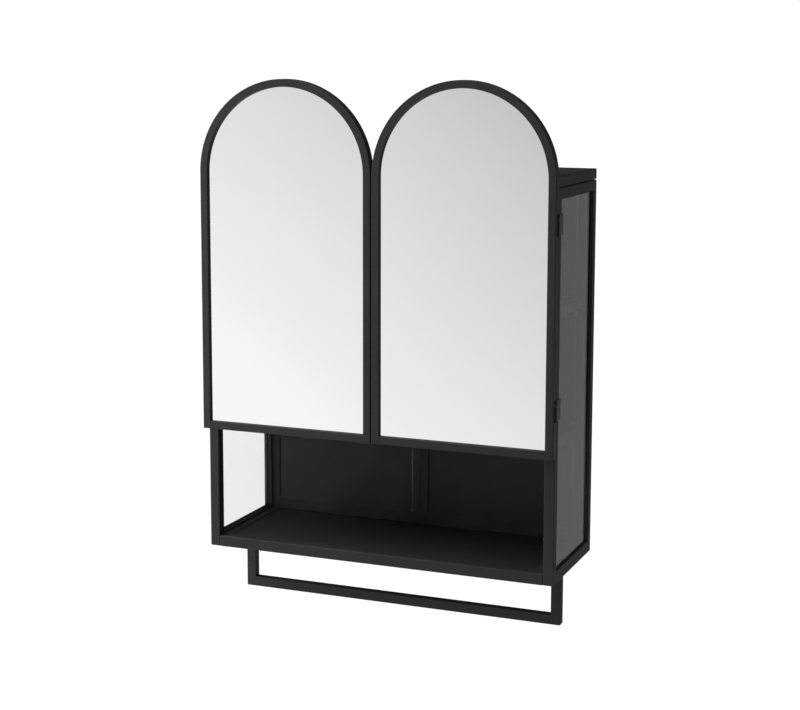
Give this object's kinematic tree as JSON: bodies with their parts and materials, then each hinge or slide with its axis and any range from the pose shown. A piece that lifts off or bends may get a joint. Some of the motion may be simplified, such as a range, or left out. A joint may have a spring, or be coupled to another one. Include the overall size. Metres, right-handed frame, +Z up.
{
  "type": "medicine cabinet with mirror",
  "caption": "Wall-hung bathroom cabinet: black steel frame, arched mirror doors, glass sides, open niche and a towel rail below.",
  "frame": {"origin": "on the wall plane, at the centre of the hanging rail's rear face, half way across the cabinet", "axes": "+X to the viewer's right, +Y into the wall, +Z up; the doors face -Y"},
  "size_m": [0.605, 0.2294, 0.8728],
  "materials": {
    "black_steel": "fine satin black powder coat",
    "hinge_steel": "satin black",
    "plated_steel": "zinc plated",
    "rubber": "matte",
    "plastic": "matte moulded",
    "nylon": "semi-matte",
    "board": "matte hardboard",
    "clear_glass": "clear float glass",
    "mirror": "silvered glass"
  },
  "bodies": {
    "cabinet": {"top_cap": "black_steel", "bottom_tray": "black_steel", "mid_panel": "black_steel", "inner_shelf": "black_steel", "back_panel_left": "black_steel", "back_panel_right": "black_steel", "back_joint_strip": "black_steel", "front_top_rail": "black_steel", "towel_rail": "black_steel", "side_frame_left": "black_steel", "side_frame_right": "black_steel", "hanging_rail": "plated_steel", "side_glass_left": "clear_glass", "glass_gasket_left": "rubber", "catch_housing_left": "plastic", "catch_magnet_left": "plated_steel", "shelf_pin_front_left": "plated_steel", "shelf_pin_rear_left": "plated_steel", "hinge_body_leaf_lower_left": "hinge_steel", "hinge_washer_lower_left": "nylon", "hinge_pin_lower_left": "plated_steel", "hinge_body_leaf_upper_left": "hinge_steel", "hinge_washer_upper_left": "nylon", "hinge_pin_upper_left": "plated_steel", "side_glass_right": "clear_glass", "glass_gasket_right": "rubber", "catch_housing_right": "plastic", "catch_magnet_right": "plated_steel", "shelf_pin_front_right": "plated_steel", "shelf_pin_rear_right": "plated_steel", "hinge_body_leaf_lower_right": "hinge_steel", "hinge_washer_lower_right": "nylon", "hinge_pin_lower_right": "plated_steel", "hinge_body_leaf_upper_right": "hinge_steel", "hinge_washer_upper_right": "nylon", "hinge_pin_upper_right": "plated_steel"},
    "left_door": {"hinge_door_leaf_lower_left": "hinge_steel", "hinge_door_leaf_upper_left": "hinge_steel", "door_frame_left": "black_steel", "mirror_left": "mirror", "mirror_backing_left": "board", "door_cover_left": "black_steel", "strike_plate_left": "plated_steel", "door_stop_lower_left": "rubber", "door_stop_upper_left": "rubber"},
    "right_door": {"hinge_door_leaf_lower_right": "hinge_steel", "hinge_door_leaf_upper_right": "hinge_steel", "door_frame_right": "black_steel", "mirror_right": "mirror", "mirror_backing_right": "board", "door_cover_right": "black_steel", "strike_plate_right": "plated_steel", "door_stop_lower_right": "rubber", "door_stop_upper_right": "rubber"}
  },
  "joints": [
    {"name": "left_door_hinge", "type": "hinge", "parent": "cabinet", "child": "left_door", "pos_m": [-0.2995, -0.2175, -0.1593], "axis": [0, 0, -1], "range_deg": [0, 110]},
    {"name": "right_door_hinge", "type": "hinge", "parent": "cabinet", "child": "right_door", "pos_m": [0.2995, -0.2175, -0.1593], "axis": [0, 0, 1], "range_deg": [0, 110]}
  ]
}
